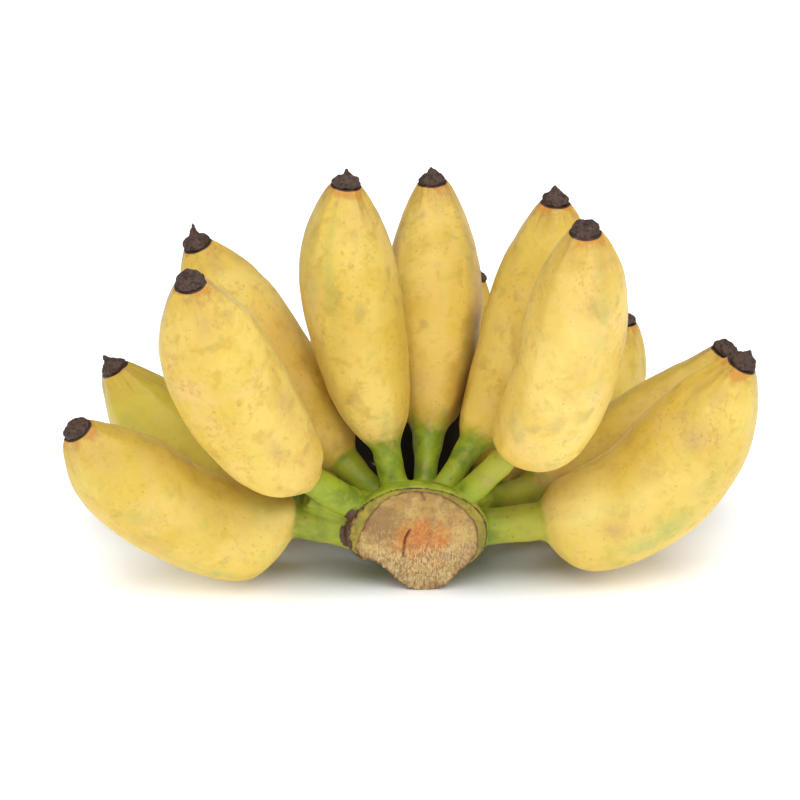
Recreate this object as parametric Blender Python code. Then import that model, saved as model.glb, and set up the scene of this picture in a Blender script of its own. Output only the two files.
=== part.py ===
"""A whole hand of small plump bananas, lying on the foot of its crown and its lowest fruits.

One green body is the crown with the stalks that grow out of it, and a tan one is the
flesh where the crown was cut. Thirteen fruits sit on the ends of the stalks, and each
fruit carries the dried end of its flower.
The fruits are numbered from left to right as the photograph shows them. Number 13 stands
behind number 5, where the photograph doesn't show it, so its place is a guess.

Lengths below are in millimetres; the objects are built in metres with +Z up.
Places are measured from the floor under the front edge of the cut face, with +X to the
right and +Y away from the viewer. The origin of the part is the middle of the hand, on
the floor.
"""
import bisect
import math
import random

import bmesh
import bpy
from mathutils import Vector

MM = 0.001
HAND_MIDDLE = Vector((0.6, 51.6, 0.0))    # becomes the origin
GAP = 0.35                 # between two bodies that touch
CREASE = 50                # degrees; a sharper edge stays hard, also in the next line
STUB_CREASE = 60

# Materials: linear colour and roughness
STALK_GREEN = ((0.28, 0.37, 0.04), 0.5)
SKIN_YELLOW = ((0.80, 0.56, 0.12), 0.5)
DRIED_BROWN = ((0.06, 0.035, 0.025), 0.85)
FLESH_TAN = ((0.60, 0.38, 0.18), 0.8)

# The fruit, in shares of its own length and of its own greatest radius
SIDES = 20                 # points round a section
SPINE_STEPS = 400          # samples along a spine
NECK = 5.9                 # radius under the dried end
RIDGES = 5                 # soft ridges along the skin
RIDGE_BODY = 0.022         # height of a ridge on the body, as a share of the radius
RIDGE_NECK = 0.045         # the same at the neck
GIRTH = [                  # (place along the fruit, share of the greatest radius)
    (0.020, 0.42), (0.050, 0.62), (0.095, 0.78), (0.160, 0.90), (0.250, 0.97),
    (0.380, 1.00), (0.540, 1.00), (0.660, 0.95), (0.760, 0.84), (0.840, 0.70),
    (0.900, 0.56), (0.950, 0.43),
]
DOME_END = 0.25            # end of the dome at the base
WIDEST = 0.54              # end of the even stretch
NARROWS = 0.60             # from here on a blunt fruit is fuller than the table says
BLUNT_GAIN = 8.0
BULGE_TOP = 0.12           # where the base hangs out most
BULGE_END = 0.67           # and where it is back on its spine

# The stalk: (place along it, share of its radius), from its root inside the crown
STALK = [(0.00, 1.30), (0.35, 1.10), (0.60, 0.97), (0.80, 1.00), (1.00, 1.20)]
FLARE = STALK[-1][1]

# spine: root, root handle, tip handle and tip. girth: greatest radius. stalk and stalk_r:
# the stalk's length from its root, and its radius. bulge: how far the base hangs out of
# the bend, as a share of the girth. drawn: how far the dome at the base is drawn out.
# blunt: how full the end is.
FRUITS = {
    1: dict(spine=[(-13, 12, 17), (-62, 6, 42), (-102, 5, 17), (-136, -10, 79.5)],
            girth=21.7, stalk=38, stalk_r=6.9, bulge=0.46, drawn=0.75, blunt=0.14),
    2: dict(spine=[(-15, 23, 28), (-69.9, 52.5, 21.6), (-104.5, 65, 28), (-128.1, 66, 72.3)],
            girth=21.5, stalk=36, stalk_r=4.8, bulge=0.25, drawn=1.0, blunt=0.0),
    3: dict(spine=[(-15.4, 12, 30.6), (-56, -6, 55.5), (-79, -12, 99), (-86.8, -27, 151.3)],
            girth=22.9, stalk=35.5, stalk_r=5.9, bulge=0.02, drawn=1.6, blunt=0.13),
    4: dict(spine=[(-9.7, 17, 31.8), (-46.5, 45, 54.2), (-77.7, 58, 99.4), (-89.8, 53, 135.4)],
            girth=21.3, stalk=27.2, stalk_r=4.8, bulge=0.17, drawn=1.14, blunt=0.17),
    5: dict(spine=[(-6.6, 14, 37), (-13.9, 25, 78.5), (-31.5, 34, 117.9), (-27, 35, 168.6)],
            girth=20.9, stalk=22.1, stalk_r=6.2, bulge=0.01, drawn=1.94, blunt=0.19),
    6: dict(spine=[(4.9, 20, 32.7), (9.9, 62, 73.4), (11.1, 92, 119.9), (8.9, 92, 148.5)],
            girth=21.0, stalk=28.9, stalk_r=4.9, bulge=0.05, drawn=1.91, blunt=0.01),
    7: dict(spine=[(11, 26, 29), (1, 68, 1), (15, 113, 35), (28, 130, 88)],
            girth=22, stalk=33, stalk_r=5.0, bulge=0.25, drawn=1.3, blunt=0.0),
    8: dict(spine=[(10.5, 16, 36), (42.5, 42, 74.3), (57.5, 57, 103), (59.6, 54, 154.1)],
            girth=21.6, stalk=27.2, stalk_r=4.8, bulge=0.20, drawn=1.66, blunt=0.1),
    9: dict(spine=[(17.8, 10, 35.2), (62, -5, 84.7), (67, -8, 114.2), (67.3, -17, 168.7)],
            girth=21.0, stalk=36.2, stalk_r=5.3, bulge=0.16, drawn=0.83, blunt=0.16),
    10: dict(spine=[(17, 24, 29), (50.3, 104, 8.8), (98.7, 129, 20.5), (96.4, 134, 64.8)],
             girth=19.6, stalk=37.4, stalk_r=4.8, bulge=0.10, drawn=1.4, blunt=0.07),
    11: dict(spine=[(20.5, 17, 32.5), (60, 58.3, 16), (118, 71.3, 42), (135, 71, 78)],
             girth=19.7, stalk=37.3, stalk_r=4.5, bulge=0.27, drawn=1.4, blunt=-0.08),
    12: dict(spine=[(20.3, 12, 23.1), (97.1, 14, 26.7), (110.5, 15, 41.4), (135.2, 10, 99.8)],
             girth=24.1, stalk=34.5, stalk_r=7.0, bulge=0.19, drawn=0.8, blunt=-0.02),
    13: dict(spine=[(-3, 26, 29), (-31, 66, 2), (-43, 102, 36), (-42, 120, 84)],
             girth=22, stalk=33, stalk_r=5.0, bulge=0.25, drawn=1.3, blunt=0.0),
}

# The dried flower ends: length of the stub, and of the point that stands on it
FLOWER_ENDS = {
    1: (4.0, 1.0), 2: (4.2, 4.0), 3: (4.5, 1.5), 4: (4.5, 6.0), 5: (4.2, 2.8),
    6: (4.0, 3.2), 7: (4.2, 2.5), 8: (4.2, 3.2), 9: (4.2, 1.0), 10: (4.2, 3.0),
    11: (5.0, 1.5), 12: (5.0, 3.5), 13: (4.2, 2.5),
}
STUB_SIDES = 12
STUB = [(0.0, 0.97), (0.25, 1.05), (0.62, 0.98), (0.90, 0.80), (1.0, 0.60)]
STUB_ROUGH = 0.09          # unevenness round the stub, as a share of its radius
STUB_LEAN = 0.12           # most that a stub leans, per millimetre of height
POINT = [(0.02, 0.42), (0.50, 0.30), (1.00, 0.15)]    # (share of the point, of the neck)

# The crown. FACE is the outline (x, z) of the cut face, clockwise from its left edge.
# The tables below it give rings as (depth behind the rim, share of the outline).
FACE = [
    (-27.8, 27), (-26.5, 32), (-23, 37.5), (-18, 42.2), (-12, 46), (-5, 47.8), (2, 48.3),
    (9, 47.7), (15.5, 46), (21.5, 43.2), (27, 39), (31, 33), (32, 27), (31.3, 21),
    (28.5, 15.5), (23.5, 11.5), (18, 6), (13, 1.2), (9, -0.5), (2, -0.5), (-3, 1.5),
    (-8, 6), (-12.5, 10.8), (-17, 13.6), (-22, 14.4), (-26, 18), (-27.6, 22),
]
FACE_SPLIT = 2             # points laid along each stretch of the outline
FACE_MIDDLE = Vector((3.0, 21.0))
CUT_DEPTH = 2.4                            # how deep the cut flesh is built
CUT_FLESH = [
    (0.9, 0.45), (0.6, 0.84), (0.0, 0.93), (0.6, 1.00), (CUT_DEPTH, 1.00), (CUT_DEPTH, 0.60),
]
CROWN_FRONT = CUT_DEPTH + GAP
CROWN = [
    (CROWN_FRONT, 0.60), (CROWN_FRONT, 1.00), (7.0, 0.985), (13.0, 0.885), (19.0, 0.775),
    (25.0, 0.66), (30.0, 0.50), (34.0, 0.25),
]
POCKET = [(-2.0, 1.022), (CROWN_FRONT, 1.022)]   # kept clear of stalks, for the cut flesh


def ease(x):
    """Smooth step from 0 to 1."""
    x = min(max(x, 0.0), 1.0)
    return x * x * (3 - 2 * x)


class Spine:
    """The middle line of a stalk and its fruit."""

    def __init__(self, handles):
        a, b, c, d = (Vector(p) for p in handles)
        self.points = []
        self.walked = [0.0]
        for step in range(SPINE_STEPS + 1):
            t = step / SPINE_STEPS
            s = 1.0 - t
            self.points.append(a * s ** 3 + b * 3 * s * s * t + c * 3 * s * t * t + d * t ** 3)
        for p, q in zip(self.points, self.points[1:]):
            self.walked.append(self.walked[-1] + (q - p).length)
        self.length = self.walked[-1]
        chord = (d - a).normalized()
        to_middle = self.at(self.length / 2)[0] - a
        self.outside = (to_middle - chord * to_middle.dot(chord)).normalized()

    def at(self, distance):
        """Point and direction at a distance from the root."""
        i = min(max(bisect.bisect_left(self.walked, distance), 1), SPINE_STEPS)
        step = self.walked[i] - self.walked[i - 1]
        share = (distance - self.walked[i - 1]) / step
        point = self.points[i - 1].lerp(self.points[i], share)
        return point, (self.points[i] - self.points[i - 1]).normalized()

    def ring(self, distance, radii, shift=Vector((0, 0, 0))):
        """Points round the spine, the first on the outside of the bend."""
        centre, along = self.at(distance)
        out = (self.outside - along * self.outside.dot(along)).normalized()
        across = along.cross(out)
        turns = [2 * math.pi * k / len(radii) for k in range(len(radii))]
        return [centre + shift + out * (r * math.cos(a)) + across * (r * math.sin(a))
                for r, a in zip(radii, turns)]


def stalk_rings(plan, spine):
    return [spine.ring(place * plan["stalk"], [share * plan["stalk_r"]] * SIDES)
            for place, share in STALK]


def along_fruit(place, drawn):
    """Where a place of the girth table lies once the base is drawn out."""
    if place <= DOME_END:
        return place * drawn
    if place >= WIDEST:
        return place
    start = DOME_END * drawn
    return start + (place - DOME_END) / (WIDEST - DOME_END) * (WIDEST - start)


def fruit_rings(plan, spine):
    body = spine.length - plan["stalk"]
    rows = [(GAP / body, FLARE * plan["stalk_r"])]
    for place, share in GIRTH:
        share += BLUNT_GAIN * plan["blunt"] * max(0.0, place - NARROWS) * (1 - place)
        least = FLARE * plan["stalk_r"] if place < WIDEST else NECK
        rows.append((along_fruit(place, plan["drawn"]), max(plan["girth"] * share, least)))
    rows.append((1.0, NECK))
    rings = []
    for place, radius in rows:
        hang = ease(place / BULGE_TOP)
        hang *= ease((BULGE_END - place) / (BULGE_END - BULGE_TOP))
        ridge = ease(place / BULGE_TOP) * RIDGE_BODY
        ridge += ease((place - NARROWS) / (1 - NARROWS)) * (RIDGE_NECK - RIDGE_BODY)
        radii = [radius * (1 + ridge * math.cos(RIDGES * 2 * math.pi * k / SIDES))
                 for k in range(SIDES)]
        shift = spine.outside * (plan["girth"] * plan["bulge"] * hang)
        rings.append(spine.ring(plan["stalk"] + place * body, radii, shift))
    return rings


def flower_end_rings(number, spine):
    rng = random.Random(number)
    stub, point = FLOWER_ENDS[number]
    uneven = [rng.uniform(-STUB_ROUGH, STUB_ROUGH) for _ in range(STUB_SIDES)]
    along = spine.at(spine.length)[1]
    lean = along.cross(Vector((rng.uniform(-1, 1), rng.uniform(-1, 1), 0))) * STUB_LEAN
    rows = [(stub * place, share, place > 0) for place, share in STUB]
    rows += [(stub + point * place, share, False) for place, share in POINT]
    rings = []
    for height, share, rough in rows:
        radii = [NECK * share * (1 + (bump if rough else 0.0)) for bump in uneven]
        rings.append(spine.ring(spine.length, radii, along * (GAP + height) + lean * height))
    return rings


def face_rings(rows):
    """Copies of the outline of the cut face, smoothed, at depths and shares of its size."""
    line = []
    for i in range(len(FACE)):
        a, b, c, d = (Vector(FACE[(i + j) % len(FACE)]) for j in (-1, 0, 1, 2))
        for step in range(FACE_SPLIT):
            t = step / FACE_SPLIT
            line.append(0.5 * (2 * b + (c - a) * t + (2 * a - 5 * b + 4 * c - d) * t * t
                               + (3 * b - a - 3 * c + d) * t ** 3))
    rings = []
    for depth, share in rows:
        flat = [FACE_MIDDLE + (p - FACE_MIDDLE) * share for p in line]
        rings.append([Vector((p.x, depth, p.y)) for p in flat])
    return rings


def loft(name, rings):
    """One closed body through the rings. What would reach below the floor is cut flat."""
    bm = bmesh.new()
    rows = [[bm.verts.new((p - HAND_MIDDLE) * MM) for p in ring] for ring in rings]
    count = len(rows[0])
    for low, high in zip(rows, rows[1:]):
        for k in range(count):
            j = (k + 1) % count
            bm.faces.new((low[k], low[j], high[j], high[k]))
    for row in (rows[0], rows[-1]):
        hub = bm.verts.new(sum((v.co for v in row), Vector()) / count)
        for k in range(count):
            bm.faces.new((row[k], row[(k + 1) % count], hub))
    if min(v.co.z for v in bm.verts) < 0:
        cut = bmesh.ops.bisect_plane(bm, geom=bm.verts[:] + bm.edges[:] + bm.faces[:],
                                     plane_co=(0, 0, 0), plane_no=(0, 0, -1),
                                     clear_outer=True)
        rim = [e for e in cut["geom_cut"] if isinstance(e, bmesh.types.BMEdge)]
        bmesh.ops.holes_fill(bm, edges=rim, sides=0)
    bmesh.ops.recalc_face_normals(bm, faces=bm.faces[:])
    mesh = bpy.data.meshes.new(name)
    bm.to_mesh(mesh)
    bm.free()
    obj = bpy.data.objects.new(name, mesh)
    bpy.context.scene.collection.objects.link(obj)
    return obj


def combine(body, others, operation):
    """Joins the others to the body as one solid, or cuts them out of it."""
    group = bpy.data.collections.new("others")
    bpy.context.scene.collection.children.link(group)
    for other in others:
        group.objects.link(other)
    boolean = body.modifiers.new("boolean", "BOOLEAN")
    boolean.operation = operation
    boolean.solver = "EXACT"
    boolean.operand_type = "COLLECTION"
    boolean.collection = group
    bpy.context.view_layer.objects.active = body
    bpy.ops.object.modifier_apply(modifier=boolean.name)
    for other in others:
        bpy.data.objects.remove(other, do_unlink=True)
    bpy.data.collections.remove(group)


def material(name, colour, roughness):
    mat = bpy.data.materials.new(name)
    mat.use_nodes = True
    shader = mat.node_tree.nodes["Principled BSDF"]
    shader.inputs["Base Color"].default_value = (*colour, 1.0)
    shader.inputs["Roughness"].default_value = roughness
    shader.inputs["Metallic"].default_value = 0.0
    return mat


def finish(obj, mat, crease):
    """Gives a body its material, and shades it smooth up to the crease angle."""
    obj.data.materials.clear()
    obj.data.materials.append(mat)
    obj.data.shade_smooth()
    obj.data.set_sharp_from_angle(angle=math.radians(crease))


def main():
    for old in list(bpy.data.objects):
        bpy.data.objects.remove(old, do_unlink=True)
    green = material("stalk_green", *STALK_GREEN)
    yellow = material("banana_skin", *SKIN_YELLOW)
    dry = material("dried_flower", *DRIED_BROWN)
    flesh = material("cut_flesh", *FLESH_TAN)
    stalks = []
    for number, plan in FRUITS.items():
        spine = Spine(plan["spine"])
        stalks.append(loft(f"stalk_{number:02d}", stalk_rings(plan, spine)))
        fruit = loft(f"fruit_{number:02d}", fruit_rings(plan, spine))
        finish(fruit, yellow, CREASE)
        flower_end = loft(f"flower_end_{number:02d}", flower_end_rings(number, spine))
        finish(flower_end, dry, STUB_CREASE)
    crown = loft("crown", face_rings(CROWN))
    combine(crown, stalks, "UNION")
    combine(crown, [loft("pocket", face_rings(POCKET))], "DIFFERENCE")
    finish(crown, green, CREASE)
    cut_face = loft("cut_face", face_rings(CUT_FLESH))
    finish(cut_face, flesh, CREASE)


main()
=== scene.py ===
"""Looks of a whole hand of small plump bananas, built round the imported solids.

Each finger is one skin from the end of its stalk to the neck under the dried end of its
flower. The crown and all the stalks are one green body, and the cut face is a slab of flesh
with its rim. The tables are in millimetres, from the floor under the front edge of the cut
face, and the meshes are in metres. FACE and GIRTH are those of the part's source, and so is
FRUITS, but for the radii of seven stalks and the spines of fruits 11 and 13.
"""
import math
import random

import bpy
import numpy as np
from bpy.props import FloatProperty, FloatVectorProperty, PointerProperty
from mathutils import Matrix, Vector, noise


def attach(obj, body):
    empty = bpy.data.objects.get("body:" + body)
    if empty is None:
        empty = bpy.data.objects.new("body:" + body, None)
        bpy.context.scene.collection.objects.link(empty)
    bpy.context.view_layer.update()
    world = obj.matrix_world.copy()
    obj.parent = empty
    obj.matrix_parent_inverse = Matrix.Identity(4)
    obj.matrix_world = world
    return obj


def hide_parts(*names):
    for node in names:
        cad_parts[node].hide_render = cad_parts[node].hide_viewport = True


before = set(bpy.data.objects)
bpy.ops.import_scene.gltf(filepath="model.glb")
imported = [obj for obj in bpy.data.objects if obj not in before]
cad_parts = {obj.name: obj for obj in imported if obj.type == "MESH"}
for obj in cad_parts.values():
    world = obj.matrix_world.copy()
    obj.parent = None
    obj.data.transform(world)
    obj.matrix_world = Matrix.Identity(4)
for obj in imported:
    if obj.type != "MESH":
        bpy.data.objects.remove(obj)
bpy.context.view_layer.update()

bl_info = {
    "name": "Hand of Bananas",
    "version": (1, 0, 0),
    "blender": (4, 5, 0),
    "location": "View3D > Sidebar > Bananas",
    "description": "Builds the fingers, dried ends, crown and cut face of a hand of bananas",
    "category": "Object",
}

MM = 0.001
HAND_MIDDLE = Vector((0.6, 51.6, 0.0))

# The finger, down to BULGE_END as in the part's source
NECK = 5.9
GIRTH = [
    (0.020, 0.42), (0.050, 0.62), (0.095, 0.78), (0.160, 0.90), (0.250, 0.97),
    (0.380, 1.00), (0.540, 1.00), (0.660, 0.95), (0.760, 0.84), (0.840, 0.70),
    (0.900, 0.56), (0.950, 0.43),
]
DOME_END = 0.25
WIDEST = 0.54
NARROWS = 0.60
BLUNT_GAIN = 8.0
BULGE_TOP = 0.12
BULGE_END = 0.67
STALK = [(0.00, 1.18), (0.35, 1.03), (0.60, 0.99), (0.80, 0.99), (1.00, 1.00)]
USUAL_FLARE = 1.20         # how much a stalk widens towards its fruit
FLARE = {1: 1.02, 3: 1.02, 4: 1.30, 5: 1.12, 6: 1.45, 8: 1.30, 9: 1.06, 12: 1.10}
# Each fruit: four handles of its spine from the crown to the dried end, its girth, the length
# and radius of its stalk, how far it bulges out of its bend, how far its base is drawn out, and
# how blunt its end is. About half of the numbers, none of them of 7 or 13, come rounded from a
# fit to edge points read off the photograph. The others were set one by one.
FRUITS = {
    1: dict(spine=[(-13, 12, 17), (-62, 6, 42), (-102, 5, 17), (-136, -10, 79.5)],
            girth=21.7, stalk=38, stalk_r=7.4, bulge=0.46, drawn=0.75, blunt=0.14),
    2: dict(spine=[(-15, 23, 28), (-69.9, 52.5, 21.6), (-104.5, 65, 28), (-128.1, 66, 72.3)],
            girth=21.5, stalk=36, stalk_r=4.8, bulge=0.25, drawn=1.0, blunt=0.0),
    3: dict(spine=[(-15.4, 12, 30.6), (-56, -6, 55.5), (-79, -12, 99), (-86.8, -27, 151.3)],
            girth=22.9, stalk=35.5, stalk_r=6.5, bulge=0.02, drawn=1.6, blunt=0.13),
    4: dict(spine=[(-9.7, 17, 31.8), (-46.5, 45, 54.2), (-77.7, 58, 99.4), (-89.8, 53, 135.4)],
            girth=21.3, stalk=27.2, stalk_r=5.4, bulge=0.17, drawn=1.14, blunt=0.17),
    5: dict(spine=[(-6.6, 14, 37), (-13.9, 25, 78.5), (-31.5, 34, 117.9), (-27, 35, 168.6)],
            girth=20.9, stalk=22.1, stalk_r=5.7, bulge=0.01, drawn=1.94, blunt=0.19),
    6: dict(spine=[(4.9, 20, 32.7), (9.9, 62, 73.4), (11.1, 92, 119.9), (8.9, 92, 148.5)],
            girth=21.0, stalk=28.9, stalk_r=4.9, bulge=0.05, drawn=1.91, blunt=0.01),
    7: dict(spine=[(11, 26, 29), (1, 68, 1), (15, 113, 35), (28, 130, 88)],
            girth=22, stalk=33, stalk_r=5.0, bulge=0.25, drawn=1.3, blunt=0.0),
    8: dict(spine=[(10.5, 16, 36), (42.5, 42, 74.3), (57.5, 57, 103), (59.6, 54, 154.1)],
            girth=21.6, stalk=27.2, stalk_r=4.8, bulge=0.20, drawn=1.66, blunt=0.1),
    9: dict(spine=[(17.8, 10, 35.2), (62, -5, 84.7), (67, -8, 114.2), (67.3, -17, 168.7)],
            girth=21.0, stalk=36.2, stalk_r=5.5, bulge=0.16, drawn=0.83, blunt=0.16),
    10: dict(spine=[(17, 24, 29), (50.3, 104, 8.8), (98.7, 129, 20.5), (96.4, 134, 64.8)],
             girth=19.6, stalk=37.4, stalk_r=4.8, bulge=0.10, drawn=1.4, blunt=0.07),
    11: dict(spine=[(20.5, 15, 32.2), (60, 56.5, 16.5), (118, 71.3, 42), (135, 71, 78)],
             girth=19.7, stalk=37.3, stalk_r=5.2, bulge=0.27, drawn=1.4, blunt=-0.08),
    12: dict(spine=[(20.3, 12, 23.1), (97.1, 14, 26.7), (110.5, 15, 41.4), (135.2, 10, 99.8)],
             girth=24.1, stalk=34.5, stalk_r=7.6, bulge=0.19, drawn=0.8, blunt=-0.02),
    13: dict(spine=[(-3, 26, 29), (-31, 66, 2), (-37, 102, 32), (-28, 120, 77)],
             girth=22, stalk=33, stalk_r=5.0, bulge=0.25, drawn=1.3, blunt=0.0),
}
# Stalks that touch: the two fingers, how far from the crown, and how thick between them
WEBS = [(1, 3, 35.0, 6.4)]
RIDGES = 5
SIDES = 30                 # points round a finger before it is subdivided
STALK_SIDES = 20
WEB_SIDES = 16
DRIED_SIDES = 16
SEAM = 0.7                 # how far a skin is tucked under the other where they meet
BACK_FRUITS = (7, 10, 13)
PATTERN_RADIUS = 0.02      # of the straight tube that the pattern along a skin is laid on

# Unevenness of the surfaces: pattern, its size and its depth, in metres
UNEVEN_SKIN = [("CLOUDS", 0.030, 0.0016), ("CLOUDS", 0.011, 0.00035)]
UNEVEN_CROWN = [("CLOUDS", 0.010, 0.0006), ("CLOUDS", 0.0035, 0.00022)]
UNEVEN_DRIED_END = [("CLOUDS", 0.0050, 0.0014), ("VORONOI", 0.0024, 0.0009),
                    ("CLOUDS", 0.0010, 0.0005)]

# Dried ends: height of the stub, height of the point on it, lean of the point, and how far
# the middle of a flat one is sunk
DRIED = {
    1: (3.6, 0.8, 0.2, 0.9), 2: (3.4, 4.6, 0.5, 0.0), 3: (3.8, 1.0, 0.4, 0.9),
    4: (3.4, 6.6, 0.5, 0.0), 5: (3.4, 3.6, 0.3, 0.0), 6: (3.2, 4.0, 0.1, 0.0),
    7: (3.4, 2.5, 0.4, 0.0), 8: (3.4, 3.6, 0.3, 0.0), 9: (3.6, 0.8, 0.5, 0.7),
    10: (3.6, 3.0, 0.4, 0.0), 11: (4.6, 1.2, 0.7, 1.2), 12: (3.8, 3.4, 0.4, 0.0),
    13: (3.4, 2.5, 0.3, 0.0),
}

# The crown: outline (x, z) of the cut face, and rings of the green body (depth, share).
# The body starts as a cup that holds the flesh, with a lip all round it. A separate script
# turned points of the outline, read off the photograph by eye, into millimetres.
FACE = [
    (-27.8, 27), (-26.5, 32), (-23, 37.5), (-18, 42.2), (-12, 46), (-5, 47.8), (2, 48.3),
    (9, 47.7), (15.5, 46), (21.5, 43.2), (27, 39), (31, 33), (32, 27), (31.3, 21),
    (28.5, 15.5), (23.5, 11.5), (18, 6), (13, 1.2), (9, -0.5), (2, -0.5), (-3, 1.5),
    (-8, 6), (-12.5, 10.8), (-17, 13.6), (-22, 14.4), (-26, 18), (-27.6, 22),
]
FACE_MIDDLE = Vector((3.0, 0.0, 21.0))
CROWN = [
    (3.2, 0.90), (1.6, 0.935), (0.7, 0.955), (0.5, 0.975), (0.9, 0.992), (2.4, 1.003),
    (7.0, 0.985), (13.0, 0.885), (19.0, 0.775), (25.0, 0.66), (30.0, 0.50), (34.0, 0.25),
]
FLESH = [(0.0, 0.955), (0.6, 0.968), (3.6, 0.955)]
# At each point of FACE: width of the dark torn skin, and distance from the edge to the flesh
ROUGH = [
    2.4, 2.4, 1.5, 0.9, 0.6, 0.5, 0.5, 0.5, 0.5, 0.5, 0.6, 0.8, 0.9, 1.0, 1.0, 1.0, 0.8,
    0.6, 0.5, 0.5, 0.6, 0.7, 0.8, 0.9, 1.3, 1.8, 2.2,
]
BAND = [
    6.4, 6.8, 6.0, 4.8, 3.4, 2.3, 1.8, 2.1, 3.0, 4.0, 4.8, 5.0, 4.8, 4.2, 2.4, 1.0, 0.8,
    0.6, 0.5, 0.5, 0.6, 0.7, 0.8, 0.9, 1.6, 3.0, 5.0,
]
CRACK = [(-0.8, 28.5), (-2.9, 24.2), (-3.3, 20.5), (-3.8, 16.0)]
TOP_CRACK = [(3.8, 46.0), (4.1, 45.0), (5.2, 42.6)]
FLESH_MIDDLE = np.array([4.0, 24.0])       # where the rays of the flesh start, as (x, z)
HOLLOW_MIDDLE = np.array([5.0, 24.0])
HOLLOW_RADIUS = 6.0
CROWN_VOXEL = 0.0006
FLESH_VOXEL = 0.00036

# Painted shade that depends on what is near, in millimetres: from where and to where it grows
CLOSE = (12.0, 0.5)                        # skin that comes close to another finger
CREASE = (1.6, 0.2)                        # how much nearer one stalk is than the next
# The dark pocket behind the stalks, where shade is painted on what faces it
POCKET_MIDDLE = (-4.0, 60.0, 30.0)
POCKET_RADII = np.array([34.0, 32.0])      # of the pocket behind the stalks, along y and z
POCKET_ACROSS = (31.0, 21.0)
FAR = 1e9

# The stage, in metres and degrees, with the lens in millimetres
CAMERA_TARGET = (-5.0, 45.0, 67.3)         # in the millimetres of the tables
CAMERA_RAISED = 25.0
CAMERA_AWAY = 1.2
CAMERA_LENS = 126.9
LIGHTS_TARGET = (0.0, 0.0, 0.07)
KEY_TINT = (1.0, 1.0, 1.0)
WARM_TINT = (1.0, 0.99, 0.97)
SKY_TINT = (0.93, 0.96, 1.0)
GLOW_MOVED = (0.0, -0.02, 0.0)
GLOW_STRETCHED = (10.0, 16.7, 0.0)
GLOW_FROM = 0.95                           # where the glow of the floor starts, and is full,
GLOW_FULL = 1.85                           # once the floor is moved and stretched like this


def ease(x):
    """Smooth step from 0 to 1."""
    x = min(max(x, 0.0), 1.0)
    return x * x * (3 - 2 * x)


def eased(low, high, values):
    """The same for an array, from low to high."""
    x = np.clip((values - low) / (high - low), 0.0, 1.0)
    return x * x * (3 - 2 * x)


def through(table, x):
    """Value at x of a smooth line through the table."""
    if x <= table[0][0]:
        return table[0][1]
    for i in range(len(table) - 1):
        (x0, y0), (x1, y1) = table[i], table[i + 1]
        if x <= x1:
            before, after = table[max(i - 1, 0)], table[min(i + 2, len(table) - 1)]
            step = x1 - x0
            m0 = (y1 - before[1]) / (x1 - before[0]) * step
            m1 = (after[1] - y0) / (after[0] - x0) * step
            t = (x - x0) / step
            return ((2 * t ** 3 - 3 * t * t + 1) * y0 + (t ** 3 - 2 * t * t + t) * m0
                    + (3 * t * t - 2 * t ** 3) * y1 + (t ** 3 - t * t) * m1)
    return table[-1][1]


class Spine:
    """The middle line of a stalk and its fruit, in millimetres."""

    STEPS = 400

    def __init__(self, handles):
        a, b, c, d = (Vector(p) for p in handles)
        self.points = []
        self.walked = [0.0]
        for step in range(self.STEPS + 1):
            t = step / self.STEPS
            s = 1.0 - t
            self.points.append(a * s ** 3 + b * 3 * s * s * t + c * 3 * s * t * t + d * t ** 3)
        for p, q in zip(self.points, self.points[1:]):
            self.walked.append(self.walked[-1] + (q - p).length)
        self.length = self.walked[-1]
        chord = (d - a).normalized()
        to_middle = self.at(self.length / 2)[0] - a
        self.outside = (to_middle - chord * to_middle.dot(chord)).normalized()

    def at(self, distance):
        """Point and direction at a distance from the root."""
        i = int(np.searchsorted(self.walked, distance))
        i = min(max(i, 1), self.STEPS)
        step = self.walked[i] - self.walked[i - 1]
        share = (distance - self.walked[i - 1]) / step
        point = self.points[i - 1].lerp(self.points[i], share)
        return point, (self.points[i] - self.points[i - 1]).normalized()

    def frame_at(self, distance):
        """Point, direction and the way out of the bend, at a distance from the root."""
        point, along = self.at(distance)
        return point, along, (self.outside - along * self.outside.dot(along)).normalized()


SPINES = {number: Spine(plan["spine"]) for number, plan in FRUITS.items()}


# Meshes

def start_clean():
    """Leaves edit mode and deselects everything."""
    if bpy.context.object and bpy.context.object.mode != "OBJECT":
        bpy.ops.object.mode_set(mode="OBJECT")
    bpy.ops.object.select_all(action="DESELECT")


def only(obj):
    """Makes obj the active object and the only one selected."""
    start_clean()
    obj.select_set(True)
    bpy.context.view_layer.objects.active = obj


def edit_all(obj):
    """Opens obj in edit mode with everything selected."""
    only(obj)
    bpy.ops.object.mode_set(mode="EDIT")
    bpy.ops.mesh.select_all(action="SELECT")


def pick(obj, indices):
    """Selects just these vertices of obj, which is in edit mode."""
    bpy.ops.mesh.select_all(action="DESELECT")
    bpy.ops.mesh.select_mode(type="VERT")
    bpy.ops.object.mode_set(mode="OBJECT")
    flags = np.zeros(len(obj.data.vertices), bool)
    flags[list(indices)] = True
    obj.data.vertices.foreach_set("select", flags)
    bpy.ops.object.mode_set(mode="EDIT")


def applied(obj, kind, **settings):
    """Adds a modifier to obj, sets it up and applies it."""
    only(obj)
    modifier = obj.modifiers.new(kind.lower(), kind)
    for name, value in settings.items():
        setattr(modifier, name, value)
    bpy.ops.object.modifier_apply(modifier=modifier.name)


def subdivided(obj, levels):
    applied(obj, "SUBSURF", levels=levels, render_levels=levels)


def uneven(obj, layers):
    """Displaces obj by cloudy or cellular patterns, given as (kind, size, depth) in metres."""
    for kind, size, depth in layers:
        texture = bpy.data.textures.new("unevenness", kind)
        texture.noise_scale = size
        applied(obj, "DISPLACE", texture=texture, strength=depth, mid_level=0.5,
                texture_coords="LOCAL", direction="NORMAL")
        bpy.data.textures.remove(texture)


def placed(point):
    """A point of the tables in metres in the part's frame."""
    return (point - HAND_MIDDLE) * MM


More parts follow.
